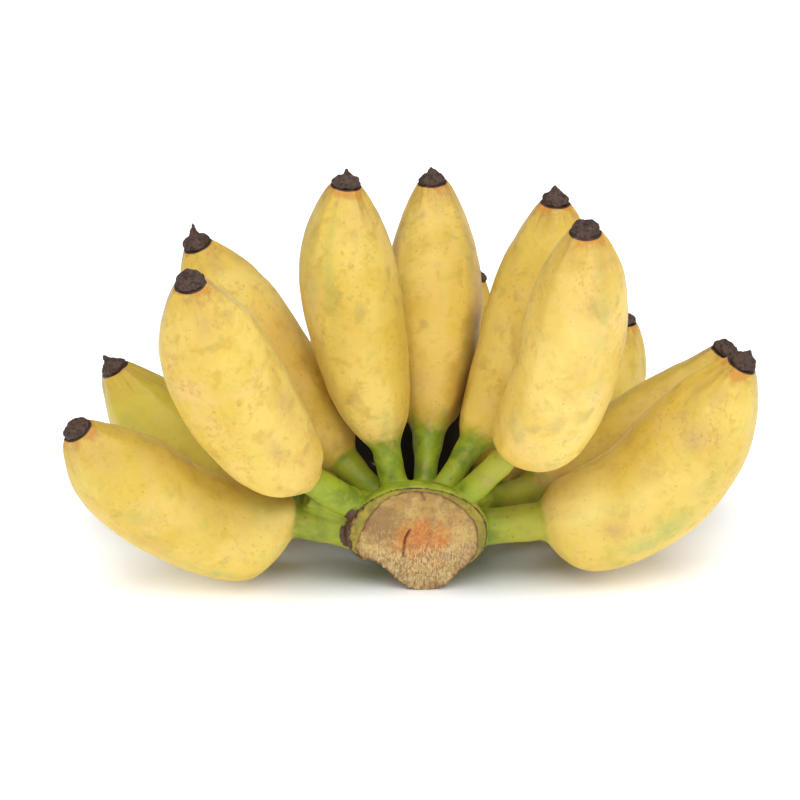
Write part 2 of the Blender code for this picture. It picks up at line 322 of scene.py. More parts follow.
def closed_up():
    """Turns all faces of the body in edit mode outwards and leaves edit mode."""
    bpy.ops.mesh.select_all(action="SELECT")
    bpy.ops.mesh.normals_make_consistent(inside=False)
    bpy.ops.object.mode_set(mode="OBJECT")


def tube(name, stations, sides):
    """A closed tube through stations of (centre, direction, outside, radius), ring by ring."""
    start_clean()
    centre, along, outside, radius = stations[0]
    across = along.cross(outside).normalized()
    turn = Matrix((outside, across, along)).transposed().to_euler()
    bpy.ops.mesh.primitive_circle_add(vertices=sides, radius=radius * MM, fill_type="NGON",
                                      location=placed(centre), rotation=turn)
    obj = bpy.context.object
    obj.name = obj.data.name = name
    bpy.ops.object.transform_apply(location=True, rotation=True, scale=True)
    edit_all(obj)
    for before, after in zip(stations, stations[1:]):
        here = placed(after[0])
        bpy.ops.mesh.extrude_region_move(
            TRANSFORM_OT_translate={"value": here - placed(before[0])})
        turned = before[1].rotation_difference(after[1]).to_euler("XYZ")
        for axis, angle in zip("XYZ", turned):
            if abs(angle) > 1e-5:
                bpy.ops.transform.rotate(value=-angle, orient_axis=axis, center_override=here)
        grown = after[3] / before[3]
        bpy.ops.transform.resize(value=(grown, grown, grown), center_override=here)
    closed_up()
    return obj


def coordinates(mesh):
    found = np.zeros(len(mesh.vertices) * 3, np.float32)
    mesh.vertices.foreach_get("co", found)
    return found.reshape(-1, 3)


def table_points(mesh):
    """The points of a mesh in the millimetres of the tables."""
    return coordinates(mesh) / MM + np.array(HAND_MIDDLE)


def move_to(mesh, points):
    mesh.vertices.foreach_set("co", np.asarray(points, np.float32).ravel())
    mesh.update()


def above_floor(mesh):
    """Flattens what reaches below the floor."""
    points = coordinates(mesh)
    points[:, 2] = np.maximum(points[:, 2], 0.0)
    move_to(mesh, points)


def store(mesh, name, values):
    """Stores a number or a vector for each vertex, for the materials."""
    vector = np.ndim(values) == 2
    kind = "FLOAT_VECTOR" if vector else "FLOAT"
    found = mesh.attributes.get(name) or mesh.attributes.new(name, kind, "POINT")
    found.data.foreach_set("vector" if vector else "value",
                           np.asarray(values, np.float32).ravel())


def stored(mesh, name):
    found = np.zeros(len(mesh.vertices) * 3, np.float32)
    mesh.attributes[name].data.foreach_get("vector", found)
    return found.reshape(-1, 3)


def finished(obj, material, node):
    """Gives a piece its material and its place in the frame."""
    only(obj)
    bpy.ops.object.shade_smooth()
    obj.data.materials.clear()
    obj.data.materials.append(material)
    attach(obj, "root")
    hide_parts(node)


# The fingers

def drawn_out(place, drawn):
    """Where a place of the girth table lies once the base is drawn out."""
    if place <= DOME_END:
        return place * drawn
    if place >= WIDEST:
        return place
    start = DOME_END * drawn
    return start + (place - DOME_END) / (WIDEST - DOME_END) * (WIDEST - start)


def outline(number):
    """Radii along a finger, as (distance from the root, radius)."""
    plan = FRUITS[number]
    stalk, stalk_r, girth = plan["stalk"], plan["stalk_r"], plan["girth"]
    body = SPINES[number].length - stalk
    widened = FLARE.get(number, USUAL_FLARE) - 1
    rows = [(place * stalk, share * stalk_r * (1 + widened * ease((place - 0.45) / 0.55)))
            for place, share in STALK]
    flare = rows[-1][1]
    for place, share in GIRTH:
        share += BLUNT_GAIN * plan["blunt"] * max(0.0, place - NARROWS) * (1 - place)
        least = flare if place < WIDEST else NECK
        rows.append((stalk + drawn_out(place, plan["drawn"]) * body, max(girth * share, least)))
    rows.append((stalk + body, NECK))
    return rows


def hang(number, distance):
    """How far the fruit hangs out of its bend at a distance from the root."""
    plan = FRUITS[number]
    place = (distance - plan["stalk"]) / (SPINES[number].length - plan["stalk"])
    out = ease(place / BULGE_TOP) * ease((BULGE_END - place) / (BULGE_END - BULGE_TOP))
    return plan["girth"] * plan["bulge"] * out


def finger_stations(number):
    plan = FRUITS[number]
    spine = SPINES[number]
    stalk = plan["stalk"]
    rows = outline(number)
    # Rings lie closer where the skin turns in at either end
    distances = [stalk - 3.4, stalk - 2.0, stalk - 0.6, stalk + 0.6, stalk + 1.8, stalk + 3.2]
    distances += list(np.linspace(stalk + 5.0, stalk + 24.0, 9))
    distances += list(np.linspace(stalk + 29.0, spine.length - 28.0, 9))
    distances += list(np.linspace(spine.length - 24.0, spine.length - 3.0, 8))
    distances += [spine.length - 1.0, spine.length + 0.4]
    stations = []
    for distance in distances:
        centre, along, outside = spine.frame_at(distance)
        radius = through(rows, distance) - SEAM * ease((stalk - 0.4 - distance) / 3.0)
        centre = centre + spine.outside * hang(number, distance)
        stations.append((centre, along, outside, radius))
    return distances, stations


def build_finger(number, looks):
    plan = FRUITS[number]
    distances, stations = finger_stations(number)
    obj = tube(f"banana_{number:02d}", stations, SIDES)
    cage = np.arange(len(obj.data.vertices))
    ring, side = cage // SIDES, cage % SIDES
    # Soft ridges along the fruit, sharper at the neck
    rng = random.Random(200 + number)
    first = next(i for i, d in enumerate(distances) if d > plan["stalk"] + 6)
    necks = next(i for i, d in enumerate(distances) if d > SPINES[number].length - 24)
    per_ridge = SIDES // RIDGES
    bpy.ops.object.mode_set(mode="EDIT")
    for ridge in range(RIDGES):
        height = looks.ridge * rng.uniform(0.4, 1.6)
        for line, start, end, share in (
                (0, first, len(distances), 1.0), (3, first, len(distances), -0.5),
                (0, necks, len(distances) - 2, 0.8), (3, necks, len(distances) - 2, -0.6)):
            pick(obj, cage[(side == ridge * per_ridge + line) & (ring >= start) & (ring < end)])
            bpy.ops.transform.shrink_fatten(value=height * share)
    bpy.ops.object.mode_set(mode="OBJECT")
    angles = 2 * math.pi * side / SIDES
    straight = np.stack([np.cos(angles) * PATTERN_RADIUS, np.sin(angles) * PATTERN_RADIUS,
                         np.array(distances)[ring] * MM], 1)
    store(obj.data, "straight", straight)
    subdivided(obj, 2)
    uneven(obj, UNEVEN_SKIN)
    above_floor(obj.data)
    paint_finger(obj, number)
    return obj


# Smears seen on single fruits: (kind, distance from the stalk's end, turn from the outside
# of the bend in degrees, half length, half width, strength). A separate script worked out most
# places from spots picked by eye in the photograph, and the rest was chosen by hand.
# The golden smears are painted shade, and the fair ones partly paler skin and partly painted light
SMEARS = {
    1: [("pale_and_lit", 8, 150, 10, 9, 0.70), ("pale_and_lit", 56, 128, 16, 9, 0.50),
        ("green", 32, 65, 14, 3.2, 0.95), ("green", 12, 167, 7, 6, 0.55),
        ("worn", 97, 122, 8, 10, 0.55), ("worn", 55, 68, 12, 5, 0.40),
        ("worn", 42, 147, 16, 9, 0.30)],
    2: [("worn", 92, -169, 9, 4, 0.55), ("green", 70, 110, 30, 8, 0.30)],
    3: [("worn", 37, 102, 9, 4, 0.55), ("worn", 52, 142, 10, 4, 0.50),
        ("worn", 104, 95, 7, 7, 0.65), ("worn", 108, 150, 6, 5, 0.50)],
    4: [("pale_and_lit", 72, -140, 20, 8, 0.70), ("worn", 100, -134, 7, 5, 0.60),
        ("worn", 106, 170, 5, 5, 0.60)],
    5: [("green", 86, 110, 26, 2.6, 0.40), ("worn", 97, 152, 7, 4, 0.50),
        ("worn", 107, 175, 5, 5, 0.50), ("green", 14, 150, 6, 6, 0.25)],
    6: [("golden_shade", 60, 122, 55, 8, 0.95), ("worn", 97, 169, 2.4, 2.2, 1.00),
        ("worn", 86, -109, 6, 3.5, 0.70), ("worn", 100, -160, 5, 4, 0.40)],
    8: [("worn", 107, -166, 5, 4, 0.60), ("worn", 84, 170, 8, 3, 0.45)],
    9: [("pale_and_lit", 55, -90, 42, 22, 0.45), ("worn", 89, -71, 3.2, 3, 0.95),
        ("worn", 37, -82, 3.4, 2.6, 0.70), ("worn", 107, -112, 5, 6, 0.70),
        ("worn", 104, -47, 5, 5, 0.60), ("green", 74, -60, 6, 4, 0.25)],
    10: [("worn", 121, -161, 4, 2, 1.00)],
    12: [("pale_and_lit", 20, -140, 15, 15, 1.00), ("pale_and_lit", 48, -122, 13, 8, 0.50),
         ("golden_shade", 24, -62, 13, 8, 0.40),
         ("green", 42, -70, 17, 6, 0.80), ("worn", 29, -104, 6, 5, 0.75),
         ("worn", 85, -116, 10, 6, 0.65), ("worn", 103, -161, 6, 5, 0.80),
         ("worn", 105, -119, 5, 5, 0.75), ("worn", 94, -145, 7, 4, 0.70),
         ("worn", 60, -130, 12, 5, 0.40), ("green", 76, -75, 14, 5, 0.30)],
}

# Stalks that are paler than the rest
PALE_STALKS = {1: 0.2, 4: 0.35, 9: 0.7, 11: 0.75, 12: 1.0}

# Over how many millimetres a fruit turns from green to yellow, where its base is round or wide
# and where it is drawn out
SHORT_RIPENING = 3.0
LONG_RIPENING = 12.0
DRAWN_BASE = 1.2
WIDE_GIRTH = 22.5

# Shades of single fingers: how green and how dark, the dark being partly riper skin and
# partly painted shade
SHADES = {1: (0.20, 0.15), 2: (0.70, 0.25), 3: (0.0, 0.28), 4: (0.0, 0.10), 5: (0.10, 0.25),
          6: (0.05, 0.45), 7: (0.2, 0.5), 8: (0.0, 0.10), 9: (0.0, 0.10), 10: (0.25, 0.10),
          11: (0.20, 0.55), 12: (0.10, 0.30), 13: (0.2, 0.5)}


def ripeness(plan, past_stalk):
    """0 on the green stalk and 1 on the ripe fruit; gradual where the base is drawn out."""
    short = plan["drawn"] < DRAWN_BASE or plan["girth"] > WIDE_GIRTH
    reach = SHORT_RIPENING if short else LONG_RIPENING
    return eased(-0.4 * reach, reach, past_stalk)


def paint_finger(obj, number):
    """Stores where the skin is ripe, green or worn, and where shade and light are painted on
    it, for its material.
    """
    plan = FRUITS[number]
    rng = random.Random(100 + number)
    straight = stored(obj.data, "straight")
    along = straight[:, 2] / MM - plan["stalk"]
    length = SPINES[number].length - plan["stalk"]
    angle = np.arctan2(straight[:, 1], straight[:, 0])
    store(obj.data, "ripe", ripeness(plan, along))
    store(obj.data, "pale", np.full(len(along), PALE_STALKS.get(number, 0.0)))
    store(obj.data, "tip", np.clip((length - along) / 20.0, 0.0, 1.0))
    store(obj.data, "ridge", 0.5 + 0.5 * np.cos(RIDGES * angle))
    smears = {kind: np.zeros(len(along)) for kind in ("green", "worn", "pale_and_lit", "golden_shade")}
    for kind, place, turn, half_length, half_width, strength in SMEARS.get(number, []):
        aside = np.angle(np.exp(1j * (angle - math.radians(turn - 90)))) * plan["girth"]
        off = ((along - place) / half_length) ** 2 + (aside / half_width) ** 2
        smears[kind] = np.maximum(smears[kind], strength * np.exp(-off))
    for kind, values in smears.items():
        store(obj.data, kind, values)
    green_shade, dark_shade = SHADES[number]
    store(obj.data, "green_shade", np.full(len(along), green_shade))
    # Darker towards the base, where more shade is painted
    store(obj.data, "dark_shade", dark_shade * (0.4 + 0.6 * eased(60.0, 0.0, along)))
    store(obj.data, "straight", straight + np.array([rng.uniform(-1, 1) for _ in range(3)]))
    close = closeness(table_points(obj.data), number)
    # Painted shade near other fingers and on the golden smears
    store(obj.data, "close", np.maximum(close, smears["golden_shade"]))
    # Painted shade on the back fruits where they face the dark pocket behind the stalks
    store(obj.data, "pocket_shade_mask", in_pocket(obj.data) * (number in BACK_FRUITS))


# The dried ends

STUB = [(0.0, 0.91), (0.05, 0.97), (0.28, 0.99), (0.55, 0.94), (0.80, 0.80), (1.0, 0.56)]
POINT = [(0.20, 0.40), (0.50, 0.24), (1.0, 0.08)]


def build_dried_end(number):
    spine = SPINES[number]
    rng = random.Random(number)
    stub, point, lean, sunk = DRIED[number]
    tip, along, outside = spine.frame_at(spine.length)
    aside = outside * rng.uniform(-1, 1) + along.cross(outside) * rng.uniform(-1, 1)
    stations = [(tip + along * (stub * place), along, outside, NECK * share)
                for place, share in STUB]
    if sunk:
        stations += [(tip + along * stub, along, outside, NECK * 0.52),
                     (tip + along * (stub - sunk), along, outside, NECK * 0.30)]
    for place, share in POINT:
        at = tip + along * (stub - sunk + point * place) + aside * (lean * place * point * 0.5)
        stations.append((at, along, outside, NECK * share * (0.6 if sunk else 1.0)))
    obj = tube(f"dried_end_{number:02d}", stations, DRIED_SIDES)
    subdivided(obj, 3)
    uneven(obj, UNEVEN_DRIED_END)
    return obj


# The crown

def face_line(split):
    """The outline of the cut face, smoothed, as points at depth 0."""
    line = []
    for i in range(len(FACE)):
        a, b, c, d = (Vector(FACE[(i + j) % len(FACE)]) for j in (-1, 0, 1, 2))
        for step in range(split):
            t = step / split
            p = 0.5 * (2 * b + (c - a) * t + (2 * a - 5 * b + 4 * c - d) * t * t
                       + (3 * b - a - 3 * c + d) * t ** 3)
            line.append(Vector((p.x, 0.0, p.y)))
    return line


def outline_slab(name, rows):
    """A body through copies of the outline, (depth, share), closed at both ends."""
    line = face_line(2)
    start_clean()
    bpy.ops.mesh.primitive_circle_add(vertices=len(line), radius=0.02, fill_type="NGON")
    obj = bpy.context.object
    obj.name = obj.data.name = name
    depth, share = rows[0]
    for vertex, p in zip(obj.data.vertices, line):
        at = FACE_MIDDLE + (p - FACE_MIDDLE) * share
        vertex.co = placed(Vector((at.x, depth, max(at.z, 0.0))))
    edit_all(obj)
    hub = placed(FACE_MIDDLE)
    for (depth, share), (next_depth, next_share) in zip(rows, rows[1:]):
        bpy.ops.mesh.extrude_region_move(
            TRANSFORM_OT_translate={"value": (0, (next_depth - depth) * MM, 0)})
        grown = next_share / share
        bpy.ops.transform.resize(value=(grown, 1, grown), center_override=hub)
    closed_up()
    return obj


def stalk_stations(number):
    """A stalk from its root to just under the skin of its finger."""
    spine = SPINES[number]
    rows = outline(number)
    stalk = FRUITS[number]["stalk"]
    distances = list(np.linspace(0.0, stalk - 3.0, 9))
    distances += [stalk - 1.6, stalk - 0.4, stalk + 0.8, stalk + 2.2, stalk + 3.4]
    stations = []
    for distance in distances:
        centre, along, outside = spine.frame_at(distance)
        tuck = SEAM * ease((distance - stalk + 0.4) / 2.5)
        tuck += 0.12 * through(rows, stalk) * ease((distance - stalk) / 3.4)
        centre = centre + spine.outside * hang(number, distance)
        stations.append((centre, along, outside, min(through(rows, distance),
                                                     through(rows, stalk + 1.0)) - tuck))
    return stations


def web_stations(one, other, reach, thick):
    """Flesh that joins two stalks which touch, up to a reach from their roots."""
    stations = []
    for distance in np.linspace(4.0, reach, 8):
        a, a_way = SPINES[one].at(distance)
        b, b_way = SPINES[other].at(distance)
        along = (a_way + b_way).normalized()
        outside = Vector((0, -1, 0)) + along * along.y
        shrunk = 1 - 0.35 * ease((distance / reach - 0.5) / 0.5)
        stations.append(((a + b) / 2 + Vector((0, 3.0, 0)), along,
                         outside.normalized(), thick * shrunk))
    return stations


def nearest_spines(points):
    """For points in millimetres: the nearest spine's number, the distance from its root, and
    1 in the crease between it and the next one."""
    best = np.full(len(points), FAR)
    second = np.full(len(points), FAR)
    number_of = np.zeros(len(points), int)
    root_distance = np.zeros(len(points))
    for number, spine in SPINES.items():
        its = np.full(len(points), FAR)
        its_distance = np.zeros(len(points))
        for place in np.arange(0.0, FRUITS[number]["stalk"] + 8.0, 1.0):
            centre = np.array(spine.at(place)[0])
            off = np.linalg.norm(points - centre, axis=1) - FRUITS[number]["stalk_r"]
            closer = off < its
            its[closer] = off[closer]
            its_distance[closer] = place
        closer = its < best
        second = np.where(closer, best, np.minimum(second, its))
        best[closer] = its[closer]
        number_of[closer] = number
        root_distance[closer] = its_distance[closer]
    return number_of, root_distance, eased(*CREASE, second - best)


def build_crown():
    obj = outline_slab("crown_and_stalks", CROWN)
    stalks = [tube("stalk", stalk_stations(number), STALK_SIDES) for number in FRUITS]
    stalks += [tube("web", web_stations(*web), WEB_SIDES) for web in WEBS]
    only(obj)
    for stalk in stalks:
        stalk.select_set(True)
    bpy.ops.object.join()
    applied(obj, "REMESH", mode="VOXEL", voxel_size=CROWN_VOXEL)
    applied(obj, "SMOOTH", factor=0.6, iterations=5)
    uneven(obj, UNEVEN_CROWN)
    above_floor(obj.data)
    points = table_points(obj.data)
    number, distance, crease = nearest_spines(points)
    # Painted shade in the creases between the stalks, away from the cut face
    store(obj.data, "crease", crease * eased(3.0, 8.0, points[:, 1]))
    paint_stalks(obj, points, number, distance)
    return obj


def closeness(points, number):
    """1 where the skin of a finger comes near another finger, 0 further off."""
    gap = np.full(len(points), FAR)
    for other, spine in SPINES.items():
        if other == number:
            continue
        rows = outline(other)
        for place in np.arange(FRUITS[other]["stalk"] * 0.5, spine.length - 2.0, 4.0):
            centre = spine.at(place)[0] + spine.outside * hang(other, place)
            off = np.linalg.norm(points - np.array(centre), axis=1) - through(rows, place)
            gap = np.minimum(gap, off)
    return eased(*CLOSE, gap)


def in_pocket(mesh):
    """1 on what faces the stalks in the dark pocket behind them, where shade is painted, else 0."""
    points = table_points(mesh)
    normals = np.zeros(len(points) * 3, np.float32)
    mesh.vertex_normals.foreach_get("vector", normals)
    towards = eased(0.15, -0.20, normals.reshape(-1, 3)[:, 1])
    off = points - np.array(POCKET_MIDDLE)
    near = eased(1.0, 0.70, np.linalg.norm(off[:, 1:] / POCKET_RADII, axis=1))
    across = eased(*POCKET_ACROSS, np.abs(off[:, 0]))
    return near * across * towards * eased(24.0, 36.0, points[:, 1])


def paint_stalks(obj, points, number, distance):
    """Stores where the crown is ripe, pale, browned or cut, and where shade is painted in the
    pocket behind the stalks, for its material.
    """
    ripe = np.zeros(len(points))
    pale = np.zeros(len(points))
    for one, plan in FRUITS.items():
        its = number == one
        ripe[its] = ripeness(plan, distance[its] - plan["stalk"])
        pale[its] = PALE_STALKS.get(one, 0.0) * eased(0.25, 0.8, distance[its] / plan["stalk"])
    inside, place = to_line(points[:, [0, 2]], [(p.x, p.z) for p in face_line(2)], True)
    depth, height = points[:, 1], points[:, 2]
    low = eased(15.0, 8.0, height) * eased(24.0, 8.0, depth) * eased(5.0, 2.0, inside)
    lip = eased(1.5, 0.5, depth) * eased(1.9, 0.5, inside)
    rough = np.interp(place / 2, np.arange(len(FACE) + 1), ROUGH + ROUGH[:1])
    torn = eased(1.0, 2.0, rough) * eased(7.0, 3.0, depth) * eased(3.4, 1.6, inside)
    store(obj.data, "ripe", ripe)
    store(obj.data, "pale", pale)
    store(obj.data, "low", low)
    store(obj.data, "lip", np.maximum(lip, torn))
    # Painted shade where the crown faces the dark pocket behind the stalks
    store(obj.data, "pocket_shade_mask", in_pocket(obj.data))


def to_line(points, line, closed):
    """Distance of each (x, z) point to a broken line, and the place along it."""
    best = np.full(len(points), FAR)
    place = np.zeros(len(points))
    count = len(line) if closed else len(line) - 1
    for i in range(count):
        a = np.array(line[i])
        b = np.array(line[(i + 1) % len(line)])
        t = np.clip(((points - a) @ (b - a)) / ((b - a) @ (b - a)), 0.0, 1.0)
        off = np.linalg.norm(points - (a + t[:, None] * (b - a)), axis=1)
        closer = off < best
        best[closer] = off[closer]
        place[closer] = i + t[closer]
    return best, place


def dip(distance, width):
    """1 on a line, falling to 0 within a few widths of it."""
    return np.exp(-(distance / width) ** 2)


def ruffle(points, scale, octaves):
    """Fractal noise, about -1 to 1, at each point."""
    return np.array([noise.fractal(Vector(p) * scale, 0.6, 2.0, octaves) for p in points])


def build_cut_face():
    obj = outline_slab("flesh_of_crown", FLESH)
    applied(obj, "REMESH", mode="VOXEL", voxel_size=FLESH_VOXEL)
    applied(obj, "SMOOTH", factor=0.6, iterations=3)
    mesh = obj.data
    points = table_points(mesh)
    flat = points[:, [0, 2]]
    split = 4
    inside, place = to_line(flat, [(p.x, p.z) for p in face_line(split)], True)
    corner = np.arange(len(FACE) + 1)
    band = np.interp(place / split, corner, BAND + BAND[:1])
    rough = np.interp(place / split, corner, ROUGH + ROUGH[:1])
    crack = np.minimum(to_line(flat, CRACK, False)[0], to_line(flat, TOP_CRACK, False)[0] + 0.25)
    front = eased(2.2, 1.0, points[:, 1])
    into = inside - band + 0.35 * ruffle(points, 0.35, 3)
    low = eased(27.0, 10.0, flat[:, 1]) * eased(0.0, 2.5, into)
    fibres = ruffle(points * np.array([1.0, 0.6, 0.24]), 1.9, 3)
    fine = ruffle(points * np.array([1.0, 0.6, 0.5]), 2.6, 2)
    # Fine rays out of the middle
    sideways, upwards = (flat - FLESH_MIDDLE).T
    turn = np.arctan2(upwards, sideways)
    reach = np.hypot(upwards, sideways)
    rays = ruffle(np.stack([np.cos(turn) * 9.0, np.sin(turn) * 9.0, reach * 0.35], 1), 1.0, 3)
    coarse = ruffle(points, 0.14, 2)
    flesh = eased(-0.2, 0.8, into)
    # The rind stands out a little, with a groove between it and the flesh
    rise = 0.35 * eased(0.4, -0.8, into) * eased(0.9, 1.8, band)
    rise -= 0.6 * dip(into, 0.35) * eased(0.9, 1.8, band)
    rise += flesh * (0.7 * coarse + 0.15 * ruffle(points, 0.8, 2) + 0.12 * fine)
    crack = crack + 0.25 * np.abs(ruffle(points, 1.1, 2))
    rise -= 1.5 * dip(crack, 0.45) * flesh
    rise += 0.16 * rays * flesh * eased(16.0, 6.0, reach)
    rise -= 0.8 * dip(np.linalg.norm(flat - HOLLOW_MIDDLE, axis=1), HOLLOW_RADIUS)
    rise += low * (0.34 * fibres + 0.22 * fine)
    # Torn bark outside the rind
    scabs = eased(0.2, -0.6, inside - rough) * eased(1.2, 2.4, rough)
    rise += scabs * (0.2 + 0.7 * ruffle(points, 0.6, 3))
    points[:, 1] -= front * rise
    # The lower edge ends in loose fibres
    edge = dip(inside - 1.2, 1.6) * eased(17.0, 9.0, flat[:, 1])
    away = flat - np.array([FACE_MIDDLE.x, FACE_MIDDLE.z])
    away /= np.linalg.norm(away, axis=1)[:, None]
    push = edge * (0.35 + 0.8 * fibres + 0.6 * fine)
    points[:, 0] += away[:, 0] * push
    points[:, 2] += away[:, 1] * push
    points[:, 2] = np.maximum(points[:, 2], 0.0)
    move_to(mesh, (points - np.array(HAND_MIDDLE)) * MM)
    store(mesh, "skin_width", inside - rough)
    store(mesh, "into_flesh", into)
    store(mesh, "crack", dip(crack, 0.6))
    store(mesh, "rays", 0.5 + 0.5 * rays)
    store(mesh, "front", front)
    store(mesh, "fibres", 0.5 + 0.5 * fibres)
    store(mesh, "face", np.stack([flat[:, 0], points[:, 1], flat[:, 1]], 1) * MM)
    return obj


# Materials

class Nodes:
    """A node tree in the making, with the colour that its layers are painted on."""

    def __init__(self, tree):
        self.tree = tree
        self.where = None
        self.base = None

    def feed(self, socket, value):
        """Links an input to a socket, or sets it to a value."""
        if isinstance(value, bpy.types.NodeSocket):
            self.tree.links.new(value, socket)
        else:
            socket.default_value = value

    def put(self, kind, inputs=None, **settings):
        """Adds a node, sets it up, and sets or links its inputs."""
        made = self.tree.nodes.new(kind)
        for name, value in settings.items():
            setattr(made, name, value)
        for name, value in (inputs or {}).items():
            self.feed(made.inputs[name], value)
        return made

    def read(self, name, kind="Fac"):
        """What the mesh stores under a name."""
        return self.put("ShaderNodeAttribute", attribute_name=name).outputs[kind]

    def reckon(self, operation, *values):
        return self.put("ShaderNodeMath", dict(enumerate(values)), operation=operation).outputs[0]

    def times(self, *values):
        """The product of several masks."""
        result = values[0]
        for value in values[1:]:
            result = self.reckon("MULTIPLY", result, value)
        return result

    def span(self, value, low, high):
        """Value mapped smoothly from low..high to 0..1."""
        return self.put("ShaderNodeMapRange", {"Value": value, "From Min": low, "From Max": high},
                        interpolation_type="SMOOTHSTEP").outputs[0]

    def mix(self, share, low, high):
        """Mixes two colours; either may be a socket."""
        low, high = (value if isinstance(value, bpy.types.NodeSocket) else colour(value)
                     for value in (low, high))
        return self.put("ShaderNodeMix", {0: share, 6: low, 7: high}, data_type="RGBA",
                        blend_type="MIX").outputs[2]

    def over(self, shade, *masks):
        """Paints a shade over the colour so far, where all the masks allow it."""
        self.base = self.mix(self.times(*masks), self.base, shade)

    def use(self, name, inputs):
        """The result of a node group."""
        return self.put("ShaderNodeGroup", {"Vector": self.where, **inputs},
                        node_tree=bpy.data.node_groups[name]).outputs[0]

    def mottle(self, scale, low, high, detail=3.0):
        return self.use("mottle", {"Scale": scale, "Low": low, "High": high, "Detail": detail})

    def flecks(self, scale, amount, size):
        return self.use("flecks", {"Scale": scale, "Amount": amount, "Size": size})

    def streaks(self, where, scale, stretch, low, high):
        return self.use("streaks", {"Vector": where, "Scale": scale, "Stretch": stretch,
                                    "Low": low, "High": high})

    def stirred(self, value, gain, shift, *cloud):
        """A value raised and lowered by a mottle, so that its edge comes out uneven."""
        return self.reckon("ADD", value,
                           self.reckon("MULTIPLY_ADD", self.mottle(*cloud), gain, shift))

    def noise(self, scale, detail):
        return self.put("ShaderNodeTexNoise", {"Vector": self.where, "Scale": scale,
                                               "Detail": detail}).outputs[0]

    def finish(self, shader, roughness, height, strength, distance):
        """Gives the shader its colour, its roughness and its fine relief."""
        bump = self.put("ShaderNodeBump", {"Strength": strength, "Distance": distance,
                                           "Height": height})
        self.feed(shader.inputs["Base Color"], self.base)
        self.feed(shader.inputs["Roughness"], roughness)
        self.feed(shader.inputs["Normal"], bump.outputs[0])


def colour(values):
    return (*values, 1.0)


def group(name, inputs, result):
    """An empty node group. It takes coordinates, and a number, or a colour where the default
    is None, for each input."""
    tree = bpy.data.node_groups.new(name, "ShaderNodeTree")
    tree.interface.new_socket("Vector", in_out="INPUT", socket_type="NodeSocketVector")
    for label, default in inputs.items():
        kind = "NodeSocketColor" if default is None else "NodeSocketFloat"
        socket = tree.interface.new_socket(label, in_out="INPUT", socket_type=kind)
        if default is not None:
            socket.default_value = default
    tree.interface.new_socket("Result", in_out="OUTPUT", socket_type=result)
    nodes = Nodes(tree)
    given = tree.nodes.new("NodeGroupInput").outputs
    nodes.where = given["Vector"]
    return nodes, given, tree.nodes.new("NodeGroupOutput").inputs["Result"]


def make_mottle_group():
    """Soft cloudy patches: 0 between them, 1 inside them."""
    nodes, given, made = group("mottle", {"Scale": 40.0, "Low": 0.45, "High": 0.65,
                                          "Detail": 3.0}, "NodeSocketFloat")
    cloud = nodes.put("ShaderNodeTexNoise", {
        "Vector": nodes.where, "Scale": given["Scale"], "Detail": given["Detail"],
        "Roughness": 0.58, "Distortion": 0.3})
    nodes.feed(made, nodes.span(cloud.outputs[0], given["Low"], given["High"]))


def make_fleck_group():
    """Small round flecks of uneven size; Amount is the share of cells that hold one."""
    nodes, given, made = group("flecks", {"Scale": 400.0, "Amount": 0.3, "Size": 0.35},
                               "NodeSocketFloat")
    wobble = nodes.put("ShaderNodeTexNoise", {"Vector": nodes.where, "Scale": 900.0,
                                              "Detail": 2.0})
    shaken = nodes.put("ShaderNodeVectorMath", {0: wobble.outputs[1], 1: (0.0012, 0.0012, 0.0012)},
                       operation="MULTIPLY")
    moved = nodes.put("ShaderNodeVectorMath", {0: nodes.where, 1: shaken.outputs[0]},
                      operation="ADD")
    cells = nodes.put("ShaderNodeTexVoronoi", {"Vector": moved.outputs[0],
                                               "Scale": given["Scale"]})
    parts = nodes.put("ShaderNodeSeparateColor", {0: cells.outputs["Color"]})
    held = nodes.reckon("LESS_THAN", parts.outputs[0], given["Amount"])
    radius = nodes.times(given["Size"], nodes.reckon("MULTIPLY_ADD", parts.outputs[1], 0.8, 0.2))
    dot = nodes.span(cells.outputs["Distance"], radius, nodes.times(radius, 0.4))
    nodes.feed(made, nodes.times(dot, held))


def make_streak_group():
    """Fine lines along Z of the given coordinates."""
    nodes, given, made = group("streaks", {"Scale": 300.0, "Stretch": 0.12, "Low": 0.5,
                                           "High": 0.7}, "NodeSocketFloat")
    parts = nodes.put("ShaderNodeSeparateXYZ", {0: nodes.where})
    along = nodes.times(parts.outputs[2], given["Stretch"])
    pulled = nodes.put("ShaderNodeCombineXYZ", {0: parts.outputs[0], 1: parts.outputs[1],
                                                2: along})
    lines = nodes.put("ShaderNodeTexNoise", {"Vector": pulled.outputs[0],
                      "Scale": given["Scale"], "Detail": 3.0, "Roughness": 0.6})
    nodes.feed(made, nodes.span(lines.outputs[0], given["Low"], given["High"]))


def new_material(name, stored_place=None):
    """A material in the coordinates of its object, or in those that its mesh stores."""
    material = bpy.data.materials.new(name)
    material.use_nodes = True
    nodes = Nodes(material.node_tree)
    if stored_place:
        nodes.where = nodes.read(stored_place, "Vector")
    else:
        nodes.where = nodes.put("ShaderNodeTexCoord").outputs["Object"]
    return nodes, material.node_tree.nodes["Principled BSDF"]


